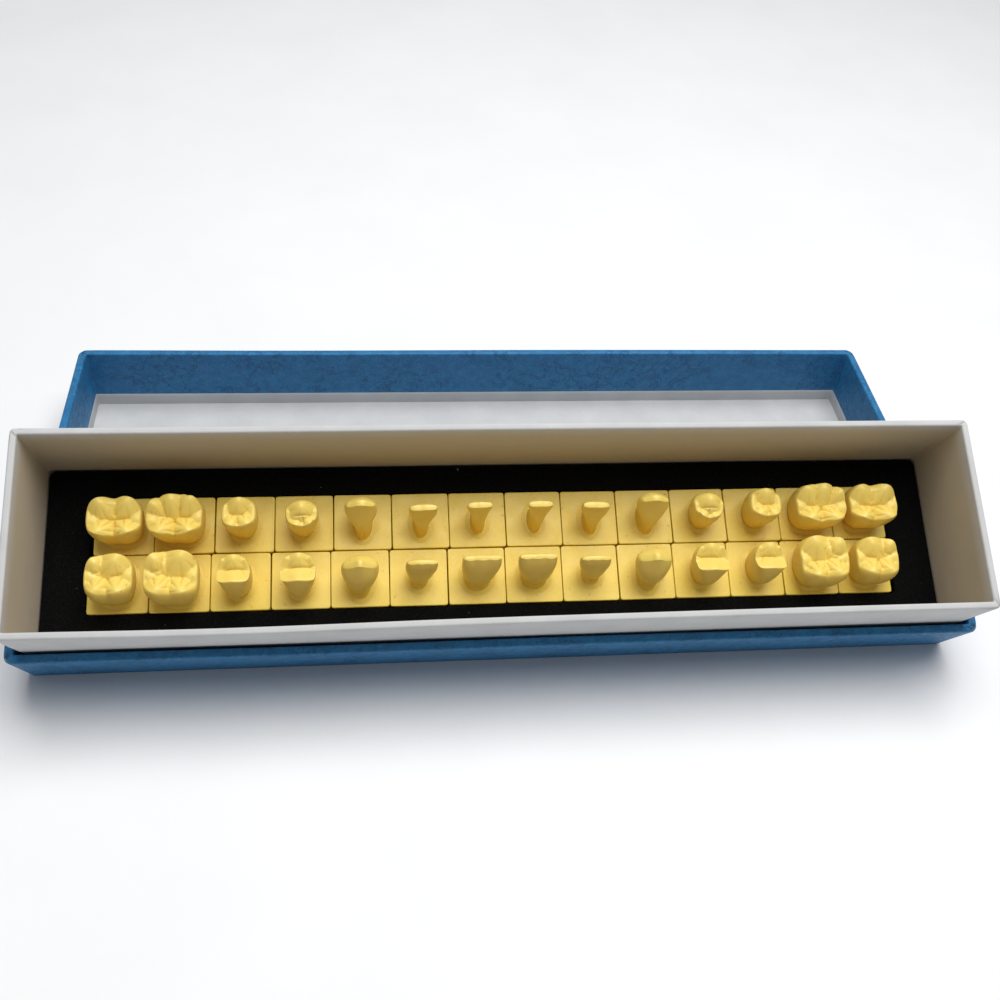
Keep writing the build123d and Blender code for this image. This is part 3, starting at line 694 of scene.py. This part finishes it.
LOWER = {
    "central_incisor": dict(
        height=17.5, square=[(0, 2.1), (0.4, 2.1), (0.75, 2.7), (1, 3.2)], hollow=0.3, lobes=0.0,
        rim=0.15, lean=(-0.4, 0.0),
        mesial=[(0, 2.6), (0.12, 2.3), (0.35, 2.4), (0.55, 2.9), (0.75, 3.6), (0.9, 4.2), (1, 4.1)],
        distal=[(0, 2.6), (0.12, 2.3), (0.35, 2.4), (0.55, 2.9), (0.75, 3.6), (0.9, 4.3), (1, 4.0)],
        lip=[(0, 4.2), (0.12, 4.1), (0.3, 4.5), (0.5, 4.1), (0.75, 2.9), (0.92, 1.7), (1, 1.2)],
        tongue=[(0, -5.3), (0.12, -4.8), (0.3, -4.7), (0.5, -3.8), (0.7, -2.5), (0.87, -1.4),
                (1, -0.7)],
        edge=[(-1.2, 0.9), (-0.8, 0.3), (-0.2, 0.2), (0, 0.0), (0.4, 0.15), (0.8, 0.1), (1.2, 0.5)]),
    "lateral_incisor": dict(
        height=17.6, square=[(0, 2.1), (0.4, 2.1), (0.75, 2.7), (1, 3.2)], hollow=0.4, lobes=0.0,
        rim=0.15, lean=(0.5, -0.6),
        mesial=[(0, 2.8), (0.12, 2.4), (0.35, 2.5), (0.52, 3.3), (0.7, 4.4), (0.88, 4.7), (1, 4.4)],
        distal=[(0, 2.8), (0.12, 2.4), (0.35, 2.5), (0.52, 3.4), (0.7, 4.6), (0.88, 4.9), (1, 4.4)],
        lip=[(0, 4.4), (0.12, 4.3), (0.3, 4.7), (0.5, 4.2), (0.75, 2.9), (0.92, 1.7), (1, 1.2)],
        tongue=[(0, -6.3), (0.12, -5.6), (0.3, -5.3), (0.5, -4.2), (0.7, -2.7), (0.87, -1.5),
                (1, -0.75)],
        edge=[(-1.2, 1.1), (-0.8, 0.45), (-0.1, 0.2), (0.1, 0.0), (0.8, 0.1), (1.2, 0.5)]),
    "canine": dict(
        height=19.0, square=[(0, 2.1), (0.4, 2.1), (0.8, 2.3), (1, 2.8)], hollow=0.3, lobes=0.0,
        rim=0.15, lean=(-0.4, 0.0),
        mesial=[(0, 3.3), (0.12, 2.9), (0.3, 3.0), (0.45, 4.2), (0.6, 5.2), (0.8, 5.4), (1, 4.6)],
        distal=[(0, 3.3), (0.12, 2.9), (0.3, 3.0), (0.45, 4.2), (0.6, 5.3), (0.8, 5.5), (1, 4.7)],
        lip=[(0, 5.2), (0.12, 5.1), (0.3, 5.8), (0.5, 5.6), (0.75, 4.6), (0.92, 3.0), (1, 2.2)],
        tongue=[(0, -6.6), (0.12, -6.0), (0.28, -5.7), (0.38, -5.3), (0.55, -4.0), (0.75, -2.0),
                (0.9, -0.5), (1, 0.3)],
        edge=[(-1.2, 3.6), (-0.8, 2.4), (-0.1, 0.1), (0.15, 0.0), (0.8, 1.9), (1.2, 3.0)]),
    "first_premolar": dict(
        height=16.8, depth=4.2, cheek_round=2.1, tongue_round=1.9, belly_level=(0.40, 0.66),
        lean=(-0.1, 0.0), crimps=6, carved=-1,
        neck=(3.5, 3.5, 4.7, 5.0, 2.1), belly=(5.5, 5.5, 5.3, 5.7, 2.2),
        crest=(4.9, 4.9, 1.6, 4.8, 2.4), pit=(-0.3, -2.0), pit_half=1.8,
        cusps=[(0.0, 1.2, 0.0, 0.74), (-1.9, -4.6, 2.1, 0.62), (2.7, -3.9, 1.8, 0.62)],
        notches=[(318, 0.8, 9)],
        ridges=[((-4.3, 0.0), (-3.8, -2.8), 2.9, 3.3, 0.5), ((4.3, 0.0), (4.1, -2.2), 2.7, 3.1, 0.5)],
        grooves=[((2.8, -1.4), (-3.0, -1.6), 0.4, 0.35), ((0.4, -2.0), (0.9, -4.8), 0.5, 0.35)]),
    "second_premolar": dict(
        height=16.4, depth=4.1, cheek_round=1.8, tongue_round=2.0, belly_level=(0.40, 0.72),
        lean=(-0.6, 0.0), crimps=6, carved=-1,
        neck=(3.9, 3.9, 4.9, 5.1, 2.2), belly=(5.8, 5.8, 6.1, 5.8, 2.5),
        crest=(5.1, 5.1, 4.6, 4.8, 2.5), pit=(-0.6, -0.9), pit_half=1.4,
        cusps=[(0.0, 3.9, 0.0, 0.72), (2.6, -3.8, 0.6, 0.62), (-2.5, -4.0, 0.9, 0.64)],
        notches=[(266, 0.7, 8)],
        ridges=[((-4.7, 2.2), (-4.6, -2.2), 2.3, 2.5, 0.7), ((4.7, 2.0), (4.6, -2.0), 2.2, 2.2, 0.7)],
        grooves=[((3.0, 0.0), (-0.6, -0.9), 0.4, 0.35), ((-0.6, -0.9), (-3.4, 0.1), 0.4, 0.35),
                 ((-0.5, -1.0), (-0.3, -4.6), 0.5, 0.35)]),
    "first_molar": dict(
        height=15.6, depth=4.9, cheek_round=2.0, tongue_round=2.1, belly_level=(0.40, 0.74),
        lean=(-1.5, 0.0), crimps=8, carved=-1,
        neck=(6.5, 6.3, 6.3, 6.4, 2.4), belly=(9.1, 9.2, 7.7, 7.8, 2.8),
        crest=(8.4, 8.3, 6.4, 6.7, 3.0), pit=(0.0, -1.3), pit_half=2.4,
        cusps=[(5.2, 5.0, 0.0, 0.66), (-0.9, 5.2, 0.2, 0.72), (-6.4, 3.6, 1.0, 0.8),
               (4.7, -5.4, 0.2, 0.72), (-4.1, -5.5, 0.4, 0.72),
               (7.7, -0.6, 2.7, 0.50), (-7.7, -1.4, 2.6, 0.50)],
        notches=[(66, 0.7, 7), (118, 0.7, 7), (268, 1.0, 8)],
        ridges=[],
        grooves=[((6.0, -0.4), (1.6, -0.6), 0.4, 0.40), ((1.6, -0.6), (2.3, 5.6), 0.6, 0.42),
                 ((-2.4, -0.8), (-3.8, 4.8), 0.5, 0.42), ((0.0, -1.6), (0.3, -6.4), 0.7, 0.42),
                 ((-2.4, -0.8), (-6.2, -1.0), 0.4, 0.40)]),
    "second_molar": dict(
        height=15.2, depth=4.7, cheek_round=2.0, tongue_round=2.1, belly_level=(0.40, 0.74),
        lean=(-1.0, 0.0), crimps=8, carved=-1,
        neck=(6.3, 6.1, 6.1, 6.2, 2.4), belly=(8.8, 8.9, 7.5, 7.6, 2.9),
        crest=(8.1, 8.1, 6.2, 6.5, 3.1), pit=(0.2, -1.0), pit_half=1.8,
        cusps=[(4.6, 4.8, 0.0, 0.66), (-4.3, 4.7, 0.2, 0.68), (4.5, -5.2, 0.2, 0.72),
               (-4.4, -5.2, 0.4, 0.72),
               (7.4, -0.6, 2.6, 0.50), (-7.4, -0.8, 2.7, 0.50)],
        notches=[(90, 0.9, 8), (270, 0.9, 8)],
        ridges=[((-0.4, 0.8), (-0.8, 4.2), 3.2, 1.6, 0.9)],
        grooves=[((5.8, -0.6), (-5.8, -0.8), 0.5, 0.40), ((0.3, 0.2), (0.6, 5.6), 0.6, 0.42),
                 ((0.2, -1.2), (0.1, -6.2), 0.7, 0.42)]),
}


def teeth():
    """A casting in place of each tooth node, cheek side towards the outside of the tray."""
    rng = np.random.default_rng(7)
    seed = 1
    for arch, kinds, buccal in (("upper", UPPER, -1), ("lower", LOWER, 1)):
        for side, mesial in (("left", 1), ("right", -1)):
            for kind, shape in kinds.items():
                seed += 1
                name = f"{arch}_{side}_{kind}"
                low, high = box_of(name, BOX)
                points, faces, shades = casting(shape, seed, AMBER_AND_SHADE_HEIGHT[arch])
                turn = rng.uniform(-LOOSE_TURN, LOOSE_TURN)
                shift = rng.uniform(-LOOSE_SHIFT, LOOSE_SHIFT, 2)
                points[:, :2] += turn * points[:, 1::-1] * [-1, 1] + shift
                points[:, 2] -= rng.uniform(0, LOOSE_SINK)
                points[:, 0] = (low[0] + high[0]) / 2 + mesial * points[:, 0]
                points[:, 1] = (low[1] + high[1]) / 2 + buccal * points[:, 1]
                points[:, 2] += low[2] + BLOCK_THICK
                shades["tone"] = np.full(len(points), rng.uniform(0, 1))
                # A mirrored casting has its faces turned right side out again.
                if mesial * buccal < 0:
                    faces = [tuple(reversed(face)) for face in faces]
                # Biting edges are crisper than cusps.
                sharp = 50 if "cusps" in shape else 36
                stand_in(name, "casting", points, faces, BOX, "tooth_resin", name, sharp, **shades)


# The box and the lid. Each piece is swept round a rounded rectangle; its section is a list of
# (distance out from the outside of the wall, height, corner radius).
LONG_STEPS, SHORT_STEPS, CORNER_STEPS = 72, 30, 8
CORNER = 2.6             # rounded vertical corners of the wrapped box and lid, in plan
BOARD, PAPER = 2.4, 0.3  # thickness in the base and the lid
WALL = BOARD + 2 * PAPER
NECK_BOARD, NECK_PAPER = 1.8, 0.25
# How far below the rim the inner edge of the covering paper ends.
TURN_IN = {"base": 15.0, "lid": 21.0}
NECK_TURN_DOWN = 29.0    # how far the neck's paper comes down outside
WINDOW_SLACK = 0.3       # gap between the foam's window and the blocks
FOLD_DEPTH, FOLD_WIDTH = 0.22, 0.26
# The neck's front wall bows out by NECK_BOW round this place along it, and this far to each side.
NECK_BOW, BOW_PLACE, BOW_REACH = 0.9, -95.0, 60.0


def rounded_loop(half_length, half_width, radius):
    """Points round a rounded rectangle, closer together towards its corners."""
    sides = []
    inner_x, inner_y = half_length - radius, half_width - radius
    corners = [(inner_x, inner_y), (-inner_x, inner_y), (-inner_x, -inner_y), (inner_x, -inner_y)]
    for i, (cx, cy) in enumerate(corners):
        arc = pi / 2 * (i + np.arange(CORNER_STEPS) / CORNER_STEPS)
        sides.append(np.column_stack([cx + radius * np.cos(arc), cy + radius * np.sin(arc)]))
        steps = LONG_STEPS if i % 2 == 0 else SHORT_STEPS
        share = (1 - np.cos(pi * np.arange(steps) / steps))[:, None] / 2
        turn = pi / 2 * (i + 1)
        out = radius * np.array([np.cos(turn), np.sin(turn)])
        sides.append((np.array([cx, cy]) + out) * (1 - share)
                     + (np.array(corners[(i + 1) % 4]) + out) * share)
    return np.concatenate(sides)


def sweep(outside, section, centre=(0.0, 0.0), caps=True):
    """Points and faces of a section carried round a rectangle (length, width)."""
    rings = []
    for out, z, radius in section:
        loop = rounded_loop(outside[0] / 2 + out, outside[1] / 2 + out, radius)
        rings.append(np.column_stack([loop + np.array(centre), np.full(len(loop), z)]))
    around = len(rings[0])
    faces = ring_faces(len(rings), around, closed=not caps)
    if caps:
        faces.append(tuple(reversed(range(around))))
        faces.append(tuple(range((len(rings) - 1) * around, len(rings) * around)))
    return np.concatenate(rings), faces


def steps(start, end, count):
    """Evenly spaced section points from one to the other, the first left out."""
    start, end = np.array(start, float), np.array(end, float)
    return [tuple(start + (end - start) * i / count) for i in range(1, count + 1)]


def bend(centre, size, first, last, radius, count=5):
    """Section points round part of a circle, from one angle to another in degrees."""
    angles = np.radians(np.linspace(first, last, count + 1))
    return [(centre[0] + size * np.cos(a), centre[1] + size * np.sin(a),
             max(radius + size * np.cos(a), 0.3)) for a in angles]


def folds(points, outside, seed, reach, low):
    """Creases of the covering paper where it is folded over the rim near each corner."""
    rng = np.random.default_rng(seed)
    fold = np.zeros(len(points))
    for sx in (-1, 1):
        for sy in (-1, 1):
            corner = np.array([sx * outside[0] / 2, sy * outside[1] / 2])
            near = points[:, :2] - corner
            for _ in range(3):
                angle = atan2(-sy, -sx) + rng.uniform(-0.75, 0.75)
                across = near @ np.array([-np.sin(angle), np.cos(angle)])
                along_it = near @ np.array([np.cos(angle), np.sin(angle)])
                line = np.exp(-((across - rng.uniform(-0.5, 0.5)) / FOLD_WIDTH) ** 2)
                inside = ease((reach - np.abs(along_it)) / reach * 2) * ease((points[:, 2] - low) / 3)
                fold = np.maximum(fold, line * inside)
    return fold


def uneven(points, height):
    """Handmade walls: a base or lid wanders by a few tenths of a millimetre, most at its rim."""
    moved = points.copy()
    share = ease(points[:, 2] / height)
    flat = points * [1, 1, 0]
    for axis, size, scale in ((2, 0.30, 45.0), (1, 0.35, 60.0), (0, 0.25, 40.0)):
        moved[:, axis] += wobble(flat, 11 + axis, size, scale) * share
    return moved


def neck_uneven(points, height):
    """Handmade walls of the neck: the front one bows out near one end, and the rim wanders."""
    moved = points.copy()
    flat = points * [1, 1, 0]
    share = ease(points[:, 2] / height)
    low = points[:, 1].min()
    front = ease((low + 8 - points[:, 1]) / 5)
    bow = ease((points[:, 2] - 0.45 * height) / (0.4 * height))
    along_wall = np.exp(-((points[:, 0] - BOW_PLACE) / BOW_REACH) ** 2)
    moved[:, 1] -= NECK_BOW * front * bow * along_wall
    moved[:, 1] += wobble(flat, 21, 0.25, 50.0) * share
    moved[:, 2] += wobble(flat, 22, 0.30, 38.0) * share
    return moved


def extent(name, place):
    """Outside (length, width), centre, lowest and highest level of a CAD node."""
    low, high = box_of(name, place)
    size = high - low
    middle = (high + low) / 2
    return (size[0], size[1]), (middle[0], middle[1]), low[2], high[2]


def wrap(node, body, place, slot, warp, wall, sheet, outer_drop, inner_drop, corner, soft):
    """Covering paper of four walls: outside, over the rounded rim, and turned in.

    It ends outer_drop and inner_drop below the rim. The corners' radius is corner in plan, and
    the rim's is soft. warp makes the walls uneven.
    """
    outside, centre, _, rim = extent(node, place)
    inner_corner = 0.35
    outer_end, inner_end = rim - outer_drop, rim - inner_drop
    section = [(0.0, outer_end, corner)]
    section += steps(section[-1], (0.0, rim - soft, corner), 9)
    section += bend((-soft, rim - soft), soft, 15, 90, corner)
    section += steps((-soft, rim, corner - soft), (soft - wall, rim, inner_corner + soft), 4)
    section += bend((soft - wall, rim - soft), soft, 105, 180, inner_corner + soft)
    section += steps((-wall, rim - soft, inner_corner), (-wall, inner_end, inner_corner), 8)
    under = rim - 2.2 * soft
    section += [(sheet - wall, inner_end, 0.5), (sheet - wall, under, 0.5),
                (-sheet, under, corner), (-sheet, outer_end, corner)]
    points, faces = sweep(outside, section, centre, caps=False)
    # The folds are pressed into the paper, and the materials also darken them as painted shade.
    fold = folds(points - [*centre, 0], outside, len(node), 5.5, rim - 4.5)
    points[:, 2] -= FOLD_DEPTH * fold
    # inside marks the inner faces of the walls, where the white paper carries painted warm bounce
    # light from the castings and painted shade.
    inside = [ease(-2 * out / wall - 1) * ease((rim - z) / 3) for out, z, _ in section]
    stand_in(node, "paper", warp(points, rim), faces, place, slot, body, fold=fold,
             inside=np.repeat(inside, len(points) // len(section)))


def tray(node, body, place, slot, thick, corner, rim):
    """Four walls on a floor, with softened edges; they wander like the paper round them."""
    outside, centre, low, high = extent(node, place)
    edge = min(0.25, thick / 3)
    section = [(-edge, low, corner), (0.0, low + edge, corner)]
    section += steps(section[-1], (0.0, high - edge, corner), 4)
    section += [(-edge, high, corner - edge), (edge - thick, high, 0.5), (-thick, high - edge, 0.5)]
    section += steps((-thick, high - edge, 0.5), (-thick, low + thick, 0.5), 4)
    points, faces = sweep(outside, section, centre)
    stand_in(node, "piece", uneven(points, rim), faces, place, slot, body)


def slab(node, body, place, slot, corner):
    """A flat sheet or pad with softened edges."""
    outside, centre, low, high = extent(node, place)
    edge = 0.35 * (high - low)
    section = [(-edge, low, corner), (0.0, low + edge, corner), (0.0, high - edge, corner),
               (-edge, high, corner)]
    points, faces = sweep(outside, section, centre)
    return stand_in(node, "piece", points, faces, place, slot, body)


def neck_board():
    """The board frame inside the neck's white paper."""
    outside, centre, low, high = extent("neck_board", BOX)
    section = [(0.0, low, 1.2), *steps((0.0, low, 1.2), (0.0, high - 0.9, 1.2), 6),
               (-0.9, high - 0.4, 0.6), (-NECK_BOARD, high - 0.9, 0.5)]
    section += steps(section[-1], (-NECK_BOARD, low, 0.5), 6)
    points, faces = sweep(outside, section, centre, caps=False)
    rim = extent("neck_wrap", BOX)[3]
    stand_in("neck_board", "piece", neck_uneven(points, rim), faces, BOX, "greyboard", "box")


def foam_insert():
    """The foam block with one long window for both rows of castings."""
    outside, centre, low, top = extent("foam_insert", BOX)
    blocks = np.array([box_of(f"{arch}_{side}_second_molar", BOX) for arch in ("upper", "lower")
                       for side in ("left", "right")])
    start, end = blocks[:, 0].min(0) - WINDOW_SLACK, blocks[:, 1].max(0) + WINDOW_SLACK
    window = (end - start)[:2] / 2
    window_centre = (end + start)[:2] / 2
    soft = 0.7

    def outer(out, z):
        loop = rounded_loop(outside[0] / 2 + out, outside[1] / 2 + out, 2.4)
        return np.column_stack([loop + np.array(centre), np.full(len(loop), z)])

    def inner(out, z):
        loop = rounded_loop(window[0] + out, window[1] + out, 1.2)
        return np.column_stack([loop + window_centre, np.full(len(loop), z)])

    angles = np.radians(np.linspace(0, 90, 5))
    rings = [outer(0, low), outer(0, (low + top) / 2)]
    rings += [outer(soft * (np.cos(a) - 1), top + soft * (np.sin(a) - 1)) for a in angles]
    lip = [inner(soft * (1 - np.cos(a)), top + soft * (np.sin(a) - 1)) for a in angles[::-1]]
    rings += [rings[-1] + (lip[0] - rings[-1]) * t for t in (0.2, 0.4, 0.6, 0.8)]
    rings += lip + [inner(0, (low + top) / 2), inner(0, low)]
    around = len(rings[0])
    points = np.concatenate(rings)
    share = ease((points[:, 2] - low) / (top - low))
    points[:, 2] += wobble(points * [1, 1, 0], 31, 0.30, 14.0) * share
    faces = ring_faces(len(rings), around, closed=True)
    stand_in("foam_insert", "piece", points, faces, BOX, "black_foam", "box")


def box_and_lid():
    """The leatherette base and lid on their boards, the white neck, and the foam."""
    for shell, body, place in (("base", "box", BOX), ("lid", "lid", LID)):
        low, rim = extent(f"{shell}_side_wrap", place)[2:]
        wrap(f"{shell}_side_wrap", body, place, "blue_leatherette", uneven, wall=WALL, sheet=PAPER,
             outer_drop=rim - low, inner_drop=TURN_IN[shell], corner=CORNER, soft=0.8)
        tray(f"{shell}_board", body, place, "greyboard", BOARD, CORNER - PAPER, rim)
        slab(f"{shell}_face_sheet", body, place, "blue_leatherette", CORNER)
    tray("lid_liner", "lid", LID, "white_paper", PAPER, 0.5, extent("lid_side_wrap", LID)[3])
    low, rim = extent("neck_wrap", BOX)[2:]
    wrap("neck_wrap", "box", BOX, "white_paper", neck_uneven, wall=NECK_BOARD + 2 * NECK_PAPER,
         sheet=NECK_PAPER, outer_drop=NECK_TURN_DOWN, inner_drop=rim - low, corner=1.5, soft=0.75)
    neck_board()
    foam_insert()
    slab("foam_pad", "box", BOX, "black_foam", 2.0)


teeth()
box_and_lid()

# Floor, light and camera
scene = bpy.context.scene
scene.view_settings.view_transform = "Standard"


def paper_floor():
    """A large pale table top with a faint grain."""
    s = Shader("table_top", 0.6, Specular_IOR_Level=0.25)
    colour = s.ramp(s.noise(60, 4), (0.3, 0.86), (0.7, 0.89))
    bpy.ops.mesh.primitive_plane_add(size=12, location=(0, 0, CAD_LOW.z))
    floor = bpy.context.object
    floor.name = "table"
    floor.data.materials.append(s.finish(colour, s.bump(s.noise(2, 3), 0.02, 0.3)))


def soft_light():
    """One broad lamp overhead, turned to the box, in a room of faint cool daylight."""
    light = bpy.data.lights.new("window", "AREA")
    light.size = 0.85
    light.energy = 14.0
    lamp = bpy.data.objects.new("window", light)
    lamp.location = (0.14, 0.05, 1.10)
    towards = Vector((0, 0, 0.02)) - lamp.location
    lamp.rotation_euler = towards.to_track_quat("-Z", "Y").to_euler()
    scene.collection.objects.link(lamp)
    world = bpy.data.worlds.new("room")
    world.use_nodes = True
    daylight = world.node_tree.nodes["Background"].inputs
    daylight["Color"].default_value = (0.93, 0.96, 1.0, 1)
    daylight["Strength"].default_value = 0.24
    scene.world = world


def camera():
    """Looks down along the box from its front left, slightly tilted."""
    azimuth, elevation, roll = radians(9.83), radians(46.82), radians(6.2)
    lens = bpy.data.cameras.new("camera")
    lens.lens = 38.54
    lens.sensor_width = 36.0
    lens.clip_start = 0.01
    eye = bpy.data.objects.new("camera", lens)
    turn = (Matrix.Rotation(-azimuth, 4, "Z") @ Matrix.Rotation(pi / 2 - elevation, 4, "X")
            @ Matrix.Rotation(roll, 4, "Z"))
    eye.matrix_world = Matrix.Translation(Vector((-45.9, -272.7, 314.4)) * MM) @ turn
    scene.collection.objects.link(eye)
    scene.camera = eye


paper_floor()
soft_light()
camera()
